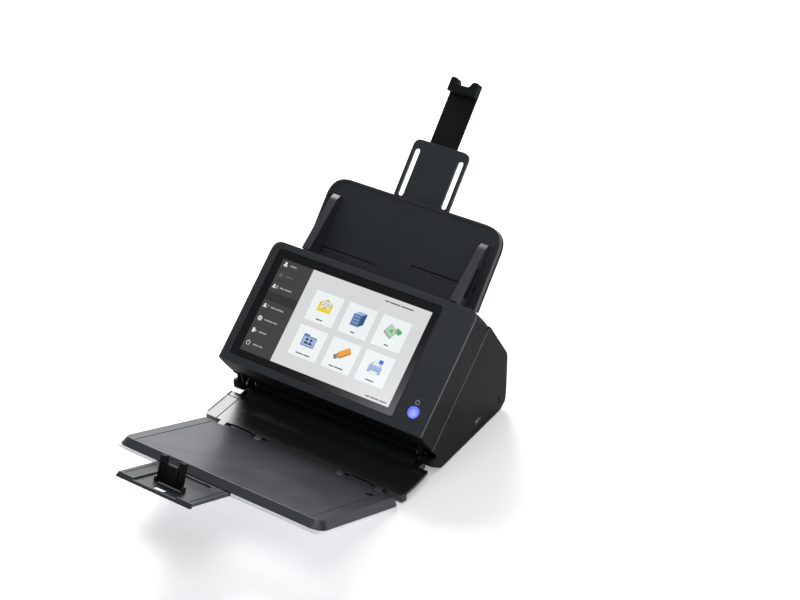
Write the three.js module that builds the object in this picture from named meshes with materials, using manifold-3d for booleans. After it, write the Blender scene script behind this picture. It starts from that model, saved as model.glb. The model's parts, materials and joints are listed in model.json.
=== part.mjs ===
// Sheet fed document scanner with a tilted touch panel, a rear feed tray and a folding eject tray.
// Millimetres, +X to the right as the user sees it, +Y to the rear, +Z up, table at Z = 0.
import * as THREE from 'three';
import { mergeVertices } from 'three/addons/utils/BufferGeometryUtils.js';
import Module from 'manifold-3d';

const wasm = await Module();
wasm.setup();

// ---------------------------------------------------------------- driving dimensions
const ORIGIN_BACK = 22.4;          // the frame's origin lies this far in front of the panel's centre
const GAP = 0.4;                   // clearance between neighbouring pieces

const BODY_HALF = 151;             // half width of the machine
const SIDE_INNER = 143.8;          // inner face of the side covers
const PANEL_TILT = 38.4;           // slope of the touch panel from the horizontal
const PANEL_HEIGHT = 125.8;        // height of the panel's centre
const PANEL_LOW = -82;             // panel edges along its slope
const PANEL_TOP = 82.5;
const COVER_DEPTH = 42.5;          // front cover, measured square to the panel
const COVER_LOW = -86;             // lower edge of its back, along the slope
const BEZEL_DEPTH = 3.2;
const PATH_GAP = 3.1;              // paper path between the cover and the lower guide
const GLASS = { x: -17.2, y: 0.85, width: 243.8, height: 144.6, thick: 1.5 };
const BUTTON = { x: 128, y: -57, radius: 7.6 };
const COVER_PIVOT = { y: -37, z: 27, pin: 2.5, ear: [131, 135.2], reach: [126, 135.4] };

const FEED_TILT = 46.25;           // slope of the feed tray
const FEED_ORIGIN = { y: 82, z: 146 };
const FEED_HALF = 127.5;
const FEED_TOP = 115;              // top end along the slope
const FEED_CORNER = 27.5;
const PAPER_HALF = 104.5;          // guides stand at the edges of an A4 sheet
const GUIDE_THICK = 11;
const EXT_HALF = 40.5;             // feed extension, first stage
const TIP_HALF = 20;               // feed extension, second stage

const EJECT_TILT = 25.1;           // slope of the eject tray at rest
const EJECT_ORIGIN = { y: -108, z: 13.5 };
const ARM_PIVOT = { y: -34, z: 13.4, pin: 2, reach: [129, 148.6] };
const TRAY_PIVOT = { y: -107.5, z: 9, pin: 2 };
const ARM_HALF = 135.4;            // half width of the arm's neck, between the two toes of the base
const ARM_WING = 150.6;
const TOE_INNER = 136;             // the toes carry the arm's pins
const TRAY_HALF = 142.5;
const TRAY_LENGTH = 155;
const TRAY_EDGE = 9.6;             // height of the sloping tray edge
const TRAY_FLARE = 6;              // how far that edge leans outwards
const SLIDER = { x: -31, half: 54, front: 229.5, back: 112, top: -10.1, low: -13.6 };
const STOPPER = { x: -28, half: 18, y: -208, top: 21, thick: 5 };

const PULLEY_X = [-139, -132.4];
const PULLEY_RADIUS = 5.6;
const FRAME_X = [128, 130];
const ROLLERS = {
  feed: { v: 48, radius: 11, half: 32, shaft: 3 },
  registration: { v: 24, radius: 8, half: 100, shaft: 3 },
  eject: { v: -40, radius: 8, half: 100, shaft: 3 },
};
const IDLERS = {
  retard: { v: 48, radius: 8.5, half: 24 },
  registration: { v: 24, radius: 4.8, half: 96 },
  eject: { v: -40, radius: 4.8, half: 96 },
};
const ROLLER_LINE = -44.3;         // the driven rollers reach this far up towards the panel
const IDLER_LINE = -43.9;
const MOTOR = { y: 15, z: 32, radius: 17, x: [-127.6, -92] };

const colours = {
  bezel: 0x2f353a, side: 0x25292a, glass: 0x161819, dark: 0x1b1d1f, steel: 0x9a9ea2, rubber: 0x151515,
  board: 0x1d5a34, light: 0xe1dee8, tray: 0x44464f, button: 0x6e78ff, port: 0x8d9094, belt: 0x101010,
};

// ---------------------------------------------------------------- geometry helpers
const rad = THREE.MathUtils.degToRad;
const FAR = 400;

/** A closed manifold solid from a three.js geometry. */
function solidOf(geometry) {
  const bare = geometry.clone();
  bare.deleteAttribute('normal');
  bare.deleteAttribute('uv');
  const merged = mergeVertices(bare, 1e-4);
  const vertProperties = new Float32Array(merged.attributes.position.array);
  const triVerts = new Uint32Array(merged.index.array);
  return new wasm.Manifold(new wasm.Mesh({ numProp: 3, vertProperties, triVerts }));
}

function geometryOf(solid) {
  const mesh = solid.getMesh();
  const geometry = new THREE.BufferGeometry();
  geometry.setAttribute('position', new THREE.BufferAttribute(mesh.vertProperties.slice(), 3));
  geometry.setIndex(new THREE.BufferAttribute(mesh.triVerts.slice(), 1));
  return geometry;
}

function combine(first, others, how) {
  return geometryOf(others.reduce((sum, next) => sum[how](solidOf(next)), solidOf(first)));
}

const cut = (first, ...others) => combine(first, others, 'subtract');
const join = (first, ...others) => combine(first, others, 'add');
const common = (first, ...others) => combine(first, others, 'intersect');

function box([x0, x1], [y0, y1], [z0, z1]) {
  const geometry = new THREE.BoxGeometry(x1 - x0, y1 - y0, z1 - z0);
  return geometry.translate((x0 + x1) / 2, (y0 + y1) / 2, (z0 + z1) / 2);
}

/** A round bar along X. */
function bar(radius, [x0, x1], y, z, sides = 20) {
  const geometry = new THREE.CylinderGeometry(radius, radius, x1 - x0, sides);
  return geometry.rotateZ(-Math.PI / 2).translate((x0 + x1) / 2, y, z);
}

/** A round peg along Z. */
function peg(radius, x, y, [z0, z1], sides = 24) {
  const geometry = new THREE.CylinderGeometry(radius, radius, z1 - z0, sides);
  return geometry.rotateX(Math.PI / 2).translate(x, y, (z0 + z1) / 2);
}

/** A round stud along Y. */
function stud(radius, x, [y0, y1], z, sides = 20) {
  return new THREE.CylinderGeometry(radius, radius, y1 - y0, sides).translate(x, (y0 + y1) / 2, z);
}

/** An outline from corner points [a, b, radius]; the radius rounds that corner, within half its edges. */
function outline(points) {
  const shape = new THREE.Shape();
  const at = (i) => new THREE.Vector2(...points[(i + points.length) % points.length].slice(0, 2));
  points.forEach(([, , radius = 0], i) => {
    const corner = at(i);
    const back = at(i - 1).sub(corner);
    const ahead = at(i + 1).sub(corner);
    const reach = Math.min(radius, 0.49 * back.length(), 0.49 * ahead.length());
    const before = back.setLength(reach).add(corner);
    const after = ahead.setLength(reach).add(corner);
    if (i === 0) shape.moveTo(before.x, before.y);
    else shape.lineTo(before.x, before.y);
    if (reach > 0) shape.quadraticCurveTo(corner.x, corner.y, after.x, after.y);
  });
  shape.closePath();
  return shape;
}

/** Extrudes an outline of (x, y) points upwards from z0 to z1. */
function slab(points, [z0, z1], curveSegments = 8) {
  const settings = { depth: z1 - z0, bevelEnabled: false, curveSegments };
  return new THREE.ExtrudeGeometry(outline(points), settings).translate(0, 0, z0);
}

/** Extrudes a side-view outline of (y, z) points along X. */
function prism(points, [x0, x1], curveSegments = 5) {
  const settings = { depth: x1 - x0, bevelEnabled: false, curveSegments };
  const geometry = new THREE.ExtrudeGeometry(outline(points), settings);
  const toSide = new THREE.Matrix4().set(0, 0, 1, x0, 1, 0, 0, 0, 0, 1, 0, 0, 0, 0, 0, 1);
  return geometry.applyMatrix4(toSide);
}

/** An X span of the right side, mirrored when the side is -1. */
const mirrored = ([x0, x1], side) => (side > 0 ? [x0, x1] : [-x1, -x0]);

/** Corner points of a rectangle, rounded at its low and high Y ends. */
function rectangle(x0, x1, y0, y1, lowRadius = 0, highRadius = lowRadius) {
  return [[x0, y0, lowRadius], [x1, y0, lowRadius], [x1, y1, highRadius], [x0, y1, highRadius]];
}

// ---------------------------------------------------------------- frames
const scanner = new THREE.Group();
scanner.position.y = ORIGIN_BACK;

function frame({ y, z }, tilt) {
  const group = new THREE.Group();
  group.position.set(0, y, z);
  group.rotation.x = rad(tilt);
  group.updateMatrix();
  scanner.add(group);
  return group;
}

const panelFrame = frame({ y: 0, z: PANEL_HEIGHT }, PANEL_TILT);
const feedFrame = frame(FEED_ORIGIN, FEED_TILT);
const ejectFrame = frame(EJECT_ORIGIN, -EJECT_TILT);

/** (y, z) in the scanner of a point v up the panel's slope and w out of its face. */
function slope(v, w) {
  const tilt = rad(PANEL_TILT);
  return [v * Math.cos(tilt) - w * Math.sin(tilt), PANEL_HEIGHT + v * Math.sin(tilt) + w * Math.cos(tilt)];
}

const fromWorldTo = (group, geometry) => geometry.applyMatrix4(group.matrix.clone().invert());

function add(group, name, geometry, colour, roughness = 0.5, metalness = 0) {
  const material = new THREE.MeshStandardMaterial({ color: colour, roughness, metalness });
  const mesh = new THREE.Mesh(geometry, material);
  mesh.name = name;
  group.add(mesh);
}

// ---------------------------------------------------------------- base housing
const SEAM = -COVER_DEPTH - 0.7;
const seamTop = slope(79, SEAM);
const seamLow = slope(COVER_LOW - 1, SEAM);
const REAR_LINE = [[117, 5, 0], [121.9, 8, 3], [124.4, 22, 4], [128, 76.8, 7]];
const TOE = [[-45, 17, 3], [-45.5, 22.6, 4], [-40.5, 26, 2.5], [-33, 23.4, 2]];
const TOE_FRONT = -46;
const BASE_SIDE = [
  [110, 1.2, 1.5], ...REAR_LINE, [...seamTop, 1.5], [...seamLow, 1], [-33.4, 28.5, 2],
  ...TOE.slice().reverse(), [-24, 1.2, 4],
];

function usbWindow([x0, x1], clearance) {
  return box([x0, x1], [53 - clearance, 67 + clearance], [13 - clearance, 19.6 + clearance]);
}

const RELEASE = { v: 46, w: -56, halfLong: 12, halfWide: 6 };

function releasePlate([x0, x1], clearance) {
  const long = RELEASE.halfLong + clearance;
  const wide = RELEASE.halfWide + clearance;
  const [y, z] = slope(RELEASE.v, RELEASE.w);
  const plate = new THREE.ExtrudeGeometry(
    outline(rectangle(-long, long, -wide, wide, wide * 0.6)),
    { depth: x1 - x0, bevelEnabled: false, curveSegments: 5 },
  );
  const turn = new THREE.Matrix4().set(0, 0, 1, x0, 1, 0, 0, 0, 0, 1, 0, 0, 0, 0, 0, 1);
  return plate.applyMatrix4(turn).rotateX(rad(PANEL_TILT)).translate(0, y, z);
}

function sideCover(side) {
  const across = (x0, x1) => mirrored([x0, x1], side);
  const hollow = [
    [-18, 6, 4], [108, 6, 3], [118, 12, 4], [124.4, 75, 6],
    [...slope(70, SEAM - 4), 2], [...slope(-66, SEAM - 4), 2], [-24, 34, 4],
  ];
  const toe = prism([[-29, 23.2], ...TOE.slice().reverse(), [-29, 5]], across(TOE_INNER, SIDE_INNER + 1));
  const roundedPlan = slab(rectangle(-BODY_HALF, BODY_HALF, TOE_FRONT, FAR, 9, 0), [-1, FAR]);
  const block = common(join(prism(BASE_SIDE, across(SIDE_INNER, BODY_HALF)), toe), roundedPlan);
  const body = cut(
    block,
    prism(hollow, across(SIDE_INNER - 1, BODY_HALF - 3)),
    bar(ARM_PIVOT.pin + GAP, across(TOE_INNER - 1, BODY_HALF - 2), ARM_PIVOT.y, ARM_PIVOT.z),
  );
  if (side < 0) return cut(body, releasePlate([-FAR, 0], 0.5));
  const groove = box([BODY_HALF - 1.8, BODY_HALF + 1], [106.2, 107.8], [12, 25]);
  const step = box([BODY_HALF - 1.4, BODY_HALF + 1], [44, 96], [7, 8]);
  return cut(body, usbWindow([0, FAR], GAP), groove, step);
}

add(scanner, 'left_side_cover', sideCover(-1), colours.side);
add(scanner, 'right_side_cover', sideCover(1), colours.side);
add(scanner, 'cover_release_button', releasePlate([-BODY_HALF, -BODY_HALF + 7], 0), colours.bezel);

const PORTS = {
  power_inlet: { x: [-118, -104], z: [12.6, 24] },
  network_port: { x: [40, 56], z: [12.6, 26] },
};
const PORT_BACK = 121.5;

function rearCover() {
  const half = SIDE_INNER - GAP;
  const outer = [[111, 2, 0], ...REAR_LINE, [90.4, 138.6, 0]];
  const inner = [
    [87.8, 137, 0], [124.9, 76, 5], [121.4, 22.6, 3], [119.2, 10.6, 2], [115.6, 8.4, 0], [109, 5, 0],
  ];
  const vents = [];
  for (let i = 0; i < 12; i += 1) {
    const x = -60 + i * 9;
    vents.push(box([x, x + 4.6], [100, 135], [36, 60]));
  }
  const windows = Object.values(PORTS).map(({ x: [x0, x1], z: [z0, z1] }) => (
    box([x0 - GAP, x1 + GAP], [100, 135], [z0 - GAP, z1 + GAP])));
  const trayRoom = box([-FEED_HALF - 0.5, FEED_HALF + 0.5], [60, 130], [125.6, 150]);
  return cut(prism([...outer, ...inner], [-half, half]), trayRoom, ...vents, ...windows);
}

add(scanner, 'rear_cover', rearCover(), colours.side);

function basePan() {
  const half = SIDE_INNER - GAP;
  const wallHalf = FRAME_X[0] - GAP;
  const floor = box([-half, half], [-26, 108.6], [2, 4.6]);
  const front = box([-wallHalf, wallHalf], [-26, -23.4], [4, 41]);
  const posts = [[-112, 36], [108, 36], [-112, 100], [108, 100]].map(([x, y]) => peg(3, x, y, [4, 8.7], 12));
  return join(floor, front, ...posts);
}

add(scanner, 'base_pan', basePan(), colours.dark);

const FOOT_SPOTS = { front_left_foot: [-124, -12], front_right_foot: [124, -12],
  rear_left_foot: [-124, 96], rear_right_foot: [124, 96] };
for (const [name, [x, y]] of Object.entries(FOOT_SPOTS)) {
  add(scanner, name, peg(9, x, y, [0, 2 - GAP / 2]), colours.rubber, 0.9);
}

// ---------------------------------------------------------------- sheet-metal frames and lower path
function sideFrame([x0, x1]) {
  const plate = prism([
    [-43, 27, 5], [-37, 33.5, 4], [-26, 40, 0], slope(-60, -50), slope(57, -50), slope(58, -66),
    [96, 92, 4], [100, 40, 4], [100, 5.2, 0], [-22, 5.2, 0], [-26, 21, 1], [-37, 21.6, 4],
  ], [x0, x1]);
  const holes = Object.values(ROLLERS).map(({ v, radius, shaft }) => (
    bar(shaft + GAP, [x0 - 1, x1 + 1], ...slope(v, ROLLER_LINE - radius))));
  const pivot = bar(COVER_PIVOT.pin + GAP, [x0 - 1, x1 + 1], COVER_PIVOT.y, COVER_PIVOT.z);
  const shaftHole = bar(3.2, [x0 - 1, x1 + 1], MOTOR.y, MOTOR.z);
  return cut(plate, pivot, shaftHole, ...holes);
}

add(scanner, 'left_frame', sideFrame([-FRAME_X[1], -FRAME_X[0]]), colours.steel, 0.4, 1);
add(scanner, 'right_frame', sideFrame(FRAME_X), colours.steel, 0.4, 1);

const GUIDE_TOP = -COVER_DEPTH - PATH_GAP;
const GUIDE_LOW = GUIDE_TOP - 2.5;

function lowerGuide() {
  const half = FRAME_X[0] - GAP;
  const windows = Object.values(ROLLERS).map(({ v, radius, half: reach }) => {
    const room = Math.min(radius, 9) + 1;
    return box([-reach - 1, reach + 1], [v - room, v + room], [GUIDE_LOW - 1, GUIDE_TOP + 1]);
  });
  const sensor = box([-109, 109], [-7, 7], [GUIDE_LOW - 1, GUIDE_TOP + 1]);
  const plate = box([-half, half], [-68, 57], [GUIDE_LOW, GUIDE_TOP]);
  return cut(plate, sensor, ...windows);
}

add(panelFrame, 'lower_guide', lowerGuide(), colours.dark, 0.45);

/** A contact image sensor bar and the glass in front of it; out is +1 when its glass faces the panel. */
function addSensor(name, face, out) {
  const at = (depth0, depth1) => [face - out * depth0, face - out * depth1].sort((a, b) => a - b);
  const bar1 = box([-111, 111], [-8.6, 8.6], at(3.8, 15));
  const bar2 = box([-107, 107], [-6.4, 6.4], at(2.3, 4.2));
  add(panelFrame, `${name}_sensor`, join(bar1, bar2), colours.dark, 0.4);
  add(panelFrame, `${name}_sensor_glass`, box([-108.6, 108.6], [-6.6, 6.6], at(0, 2)), colours.glass, 0.05);
}

addSensor('lower', GUIDE_TOP - 0.2, 1);

// ---------------------------------------------------------------- rollers, motor and belt
for (const [name, { v, radius, half, shaft }] of Object.entries(ROLLERS)) {
  const z = ROLLER_LINE - radius;
  const axle = join(bar(shaft, [PULLEY_X[0], FRAME_X[1] + 4], v, z), bar(PULLEY_RADIUS, PULLEY_X, v, z, 24));
  const sleeve = cut(bar(radius, [-half, half], v, z, 28), bar(shaft + GAP / 2, [-FAR, FAR], v, z));
  add(panelFrame, `${name}_shaft`, axle, colours.steel, 0.3, 1);
  add(panelFrame, `${name}_roller`, sleeve, colours.rubber, 0.9);
}

const [motorX0, motorX1] = MOTOR.x;
const motorCan = bar(MOTOR.radius, [motorX0, motorX1], MOTOR.y, MOTOR.z, 28);
add(scanner, 'drive_motor', motorCan, colours.steel, 0.4, 1);
add(scanner, 'motor_pulley', join(
  bar(PULLEY_RADIUS, PULLEY_X, MOTOR.y, MOTOR.z, 24),
  bar(2.4, [PULLEY_X[0], motorX0 - GAP], MOTOR.y, MOTOR.z),
), colours.steel, 0.3, 1);

/** The loop that a belt makes round equal pulleys at the corners of a convex polygon. */
function beltLoop(centres, radius) {
  const shape = new THREE.Shape();
  centres.forEach(([y, z], i) => {
    const [py, pz] = centres[(i + centres.length - 1) % centres.length];
    const [ny, nz] = centres[(i + 1) % centres.length];
    const start = Math.atan2(z - pz, y - py) - Math.PI / 2;
    const end = Math.atan2(nz - z, ny - y) - Math.PI / 2;
    shape.absarc(y, z, radius, start, end < start ? end + 2 * Math.PI : end, false);
  });
  shape.closePath();
  return shape;
}

function belt() {
  const centres = [[MOTOR.y, MOTOR.z]];
  for (const name of ['feed', 'registration', 'eject']) {
    centres.push(slope(ROLLERS[name].v, ROLLER_LINE - ROLLERS[name].radius));
  }
  const loop = beltLoop(centres, PULLEY_RADIUS + GAP + 1.6);
  loop.holes.push(beltLoop(centres, PULLEY_RADIUS + GAP));
  const settings = { depth: 5.4, bevelEnabled: false, curveSegments: 8 };
  const geometry = new THREE.ExtrudeGeometry(loop, settings);
  const toSide = new THREE.Matrix4().set(0, 0, 1, PULLEY_X[0] + 0.6, 1, 0, 0, 0, 0, 1, 0, 0, 0, 0, 0, 1);
  return geometry.applyMatrix4(toSide);
}

add(scanner, 'drive_belt', belt(), colours.belt, 0.8);

// ---------------------------------------------------------------- electronics in the base
const boardTop = 10.6;
const board = join(
  box([-124, 120], [30, 106], [9, boardTop]),
  box([10, 34], [50, 74], [boardTop - 0.5, 13]),
  box([-30, -12], [60, 84], [boardTop - 0.5, 16]),
);
add(scanner, 'main_circuit_board', board, colours.board, 0.5);

function rearPort({ x: [x0, x1], z: [z0, z1] }, wall) {
  const socket = box([x0 + wall, x1 - wall], [PORT_BACK - 11, PORT_BACK + 1], [z0 + wall, z1 - wall]);
  return cut(box([x0, x1], [106.6, PORT_BACK], [z0, z1]), socket);
}

const inletAxis = { x: -111, z: 18.3 };
const inlet = cut(
  box(PORTS.power_inlet.x, [106.6, PORT_BACK], PORTS.power_inlet.z),
  stud(3.2, inletAxis.x, [PORT_BACK - 12, PORT_BACK + 1], inletAxis.z),
);
const inletPin = stud(0.9, inletAxis.x, [PORT_BACK - 13, PORT_BACK - 2], inletAxis.z);
add(scanner, 'power_inlet', join(inlet, inletPin), colours.dark, 0.4);
add(scanner, 'network_port', rearPort(PORTS.network_port, 1.4), colours.port, 0.35, 1);

function sidePort() {
  const shell = usbWindow([131, BODY_HALF - 0.8], 0);
  return cut(shell, box([135, FAR], [53.6, 66.4], [13.6, 19]));
}

add(scanner, 'usb_side_port', sidePort(), colours.port, 0.35, 1);

// ---------------------------------------------------------------- front cover with the touch panel
const PANEL_PLAN = rectangle(-BODY_HALF, BODY_HALF, PANEL_LOW, PANEL_TOP, 1.5, 14);
const COVER_PLAN = rectangle(-BODY_HALF, BODY_HALF, COVER_LOW - 9, PANEL_TOP, 0, 14);

function glassRectangle(margin) {
  const { x, y, width, height } = GLASS;
  const halfX = width / 2 + margin;
  const halfY = height / 2 + margin;
  return rectangle(x - halfX, x + halfX, y - halfY, y + halfY, 4);
}

function bezel() {
  const window = slab(glassRectangle(GAP), [-BEZEL_DEPTH - 1, 1]);
  const buttonHole = peg(BUTTON.radius + GAP, BUTTON.x, BUTTON.y, [-BEZEL_DEPTH - 1, 1], 32);
  return cut(slab(PANEL_PLAN, [-BEZEL_DEPTH, 0]), window, buttonHole);
}

add(panelFrame, 'front_bezel', bezel(), colours.bezel, 0.55);
add(panelFrame, 'touch_glass', slab(glassRectangle(0), [-GLASS.thick - 0.1, -0.1]), colours.glass, 0.08);
add(panelFrame, 'display_module', box([-135, 101], [-68, 70], [-9, -GLASS.thick - GAP - 0.1]), colours.dark);
add(panelFrame, 'display_board', box([-90, 60], [-45, 50], [-12, -10.2]), colours.board);
add(panelFrame, 'power_button', join(
  peg(BUTTON.radius, BUTTON.x, BUTTON.y, [-6, 0.8], 32),
  peg(3, BUTTON.x, BUTTON.y, [-8, -5]),
), colours.button, 0.3);

const THROAT = [[83, -24], [56, -COVER_DEPTH - 0.3]];
const THROAT_HALF = 118;

function coverShell() {
  const back = -COVER_DEPTH;
  const front = -BEZEL_DEPTH - GAP;
  const outer = [
    [PANEL_TOP, front], [81.2, -29.8, 3], [78.6, back, 2], [COVER_LOW, back, 2], [-84.5, -22],
    [PANEL_LOW - 0.6, front],
  ];
  const inner = [[79.3, 0], [78.7, -20.5], [53.5, back + 3], [-82.8, back + 3], [-81.4, -21], [-79, 0]];
  const shell = common(prism(outer, [-BODY_HALF, BODY_HALF]), slab(COVER_PLAN, [-60, 0]));
  const bays = [[3 - BODY_HALF, -115], [-112, 112], [115, BODY_HALF - 3]];
  const displayBay = box([-138, 138], [-76, 76], [-13, 1]);
  const throat = prism([
    [90, -19.2], THROAT[0], THROAT[1], [56, -60], [90, -60],
  ], [-THROAT_HALF, THROAT_HALF]);
  const windows = Object.values(IDLERS).map(({ v, radius, half }) => (
    box([-half - 1, half + 1], [v - radius - 1, v + radius + 1], [-50, back + 6])));
  const journals = Object.values(IDLERS).map(({ v, radius }) => (
    bar(2 + GAP, [-116, 116], v, IDLER_LINE + radius)));
  const sensor = box([-109, 109], [-7, 7], [-50, back + 6]);
  const ears = [-1, 1].map((side) => coverEar(side));
  const hollowed = cut(shell, displayBay, ...bays.map((span) => prism(inner, span)));
  return cut(join(hollowed, ...ears), throat, sensor, ...windows, ...journals);
}

/** One of the two ears that carry the cover on its hinge pins, in the panel's frame. */
function coverEar(side) {
  const { y, z, pin } = COVER_PIVOT;
  const span = mirrored(COVER_PIVOT.ear, side);
  const ear = prism([
    [y - 5.4, z - 5.4, 5], [y + 5.4, z - 5.4, 5], [y + 5.4, z + 8, 0], slope(-72, -COVER_DEPTH + 2),
    slope(-82.6, -24), [y - 8.4, z + 19, 4],
  ], span);
  return fromWorldTo(panelFrame, cut(ear, bar(pin + GAP, [span[0] - 1, span[1] + 1], y, z)));
}

add(panelFrame, 'cover_shell', coverShell(), colours.side, 0.55);
addSensor('upper', -COVER_DEPTH - 0.4, -1);
for (const [name, { v, radius, half }] of Object.entries(IDLERS)) {
  const z = IDLER_LINE + radius;
  const roller = join(bar(radius, [-half, half], v, z, 24), bar(2, [-114.5, 114.5], v, z));
  add(panelFrame, name === 'retard' ? 'retard_roller' : `${name}_idler`, roller, colours.rubber, 0.8);
}
for (const [name, side] of [['left', -1], ['right', 1]]) {
  const { y, z, pin, reach } = COVER_PIVOT;
  add(scanner, `${name}_cover_pin`, bar(pin, mirrored(reach, side), y, z), colours.steel, 0.3, 1);
}

// ---------------------------------------------------------------- feed tray, guides and extension
const TRAY_SKIN = -3.2;
const TRAY_SPLIT = -7;
const RACKS = { right: [33.5, 38.5], left: [19.9, 24.9] };
const RACK_DEPTH = [-6.5, -3.7];
const PINION = { y: 29.2, radius: 4 };
const FEED_RECESS = -1.2;

function feedTray() {
  const outer = slab(rectangle(-FEED_HALF, FEED_HALF, 4, FEED_TOP, 0, FEED_CORNER), [TRAY_SPLIT, 0], 10);
  const dish = slab(rectangle(3.5 - FEED_HALF, FEED_HALF - 3.5, 2, FEED_TOP - 3.5, 0, FEED_CORNER - 3.5),
    [FEED_RECESS, 2], 10);
  const hollow = slab(rectangle(3.5 - FEED_HALF, FEED_HALF - 3.5, 12, FEED_TOP - 3.5, 0, FEED_CORNER - 3.5),
    [TRAY_SPLIT - 1, TRAY_SKIN], 10);
  const slots = [
    box([24, 117], [RACKS.right[0] - GAP, RACKS.right[1] + GAP], [-5, 2]),
    box([-117, -24], [RACKS.left[0] - GAP, RACKS.left[1] + GAP], [-5, 2]),
  ];
  const guideRails = [-1, 1].map((side) => slab(
    rectangle(...mirrored([118.6, 122.6], side), 16, 90, 1.8), [FEED_RECESS - 1.2, 2], 5));
  const ramp = prism([
    [3, FEED_RECESS], [12, FEED_RECESS], [10.6, TRAY_SPLIT], [8, -16], [-8, -19], [-19, -12], [-18.2, -8.6],
  ], [-117.5, 117.5]);
  const lugs = prism([
    [6, -3], [10.6, -3], [8, -16], [-8, -19], [-2, -12],
  ], [0.5 - FEED_HALF, FEED_HALF - 0.5]);
  const bearing = peg(1.8, 0, PINION.y, [TRAY_SKIN - 3.2, TRAY_SKIN + 0.5], 16);
  return join(cut(outer, dish, hollow, ...slots, ...guideRails), ramp, lugs, bearing);
}

function feedUnderside() {
  const half = FEED_HALF - 0.2;
  const plan = rectangle(-half, half, 11.4, FEED_TOP - 0.2, 0, FEED_CORNER);
  const outer = slab(plan, [-13, TRAY_SPLIT - GAP], 10);
  const channel = box([-EXT_HALF - GAP, EXT_HALF + GAP], [14, 130], [-12.1, 0]);
  const pockets = [-1, 1].map((side) => box(
    mirrored([EXT_HALF + 4, 96], side), [16, FEED_TOP - 5], [-11.4, 0]));
  return cut(outer, channel, ...pockets);
}

add(feedFrame, 'feed_tray', feedTray(), colours.bezel, 0.5);
add(feedFrame, 'feed_tray_underside', feedUnderside(), colours.side, 0.5);

/** A paper guide with its leg and rack; side +1 is the right one. */
function paperGuide(side) {
  const inner = PAPER_HALF;
  const span = mirrored([inner, inner + GUIDE_THICK], side);
  const rack = side > 0 ? RACKS.right : RACKS.left;
  const low = FEED_RECESS + 0.3;
  const wall = prism([[8.2, low], [11.8, 27, 1.5], [85, 8.5, 4], [92, 3, 3], [92.5, low]], span, 6);
  const relief = prism([[22, low + 4, 3], [21, 17, 3], [62, 8, 3], [62, low + 4, 3]],
    mirrored([inner + 3, FAR], side), 6);
  const leg = box([span[0] + 0.5, span[1] - 0.5], rack, [RACK_DEPTH[0], low + 1]);
  const bar1 = box(side > 0 ? [-12, span[1] - 0.5] : [span[0] + 0.5, 12], rack, RACK_DEPTH);
  return join(cut(wall, relief), leg, bar1);
}

add(feedFrame, 'left_guide', paperGuide(-1), colours.bezel, 0.4);
add(feedFrame, 'right_guide', paperGuide(1), colours.bezel, 0.4);
add(feedFrame, 'guide_pinion', cut(
  peg(PINION.radius, 0, PINION.y, RACK_DEPTH, 20),
  peg(1.8 + GAP, 0, PINION.y, [-8, 0], 16),
), colours.light, 0.5);

const STAGE = { start: 95, end: 192 };
const TIP = { start: 178, ears: 262, end: 278 };

function feedExtension() {
  const plate = slab(rectangle(-EXT_HALF, EXT_HALF, STAGE.start, STAGE.end, 0, 10), [-11.9, -7.6]);
  const slot = box([-TIP_HALF - GAP, TIP_HALF + GAP], [STAGE.start + 3, FAR], [-11, -8.7]);
  const openings = [-1, 1].map((side) => (
    slab(rectangle(side * 32 - 4, side * 32 + 4, STAGE.start + 22, STAGE.end - 12, 4), [-20, 0])));
  return cut(plate, slot, ...openings);
}

function extensionTip() {
  const blade = box([-TIP_HALF, TIP_HALF], [TIP.start, TIP.ears], [-10.7, -9]);
  const head = slab([
    [-TIP_HALF, TIP.ears - 2, 0], [TIP_HALF, TIP.ears - 2, 0], [TIP_HALF, TIP.end, 3],
    [TIP_HALF - 8.5, TIP.end, 3], [TIP_HALF - 12, TIP.end - 8, 3], [12 - TIP_HALF, TIP.end - 8, 3],
    [8.5 - TIP_HALF, TIP.end, 3], [-TIP_HALF, TIP.end, 3],
  ], [-11, 0.8], 5);
  return join(blade, head);
}

add(feedFrame, 'feed_extension', feedExtension(), colours.bezel, 0.5);
add(feedFrame, 'feed_extension_tip', extensionTip(), colours.side, 0.5);

// ---------------------------------------------------------------- eject arm
const ARM_TOP = 13;
const ARM_FRONT = -102.4;
const WING_REAR = -48.3;
const ARM_LUGS = { x: [-118, -62, 62, 118], half: 5 };   // the arm's and the tray's hinge lugs, on one rod
const TRAY_LUGS = { x: [-90, 90], half: 15 };
const LUG_ROOM = 6.2;              // clear radius round the hinge rod

/** The fine grooves and the slot along one wing of the arm. */
function wingGrooves(side) {
  const groove = (x, y, depth) => box(mirrored(x, side), y, [ARM_TOP - depth, ARM_TOP + 1]);
  return [
    groove([147.2, 148], [-97, -60], 0.5),
    groove([147.2, 148.8], [-58, -49.4], 3),
    groove([131, 147.2], [-58, -57.3], 0.5),
    groove([130.2, 131], [ARM_FRONT + 1, -57.3], 0.5),
    groove([125.4, 126.6], [-55.5, -49], 1),
  ];
}

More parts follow.
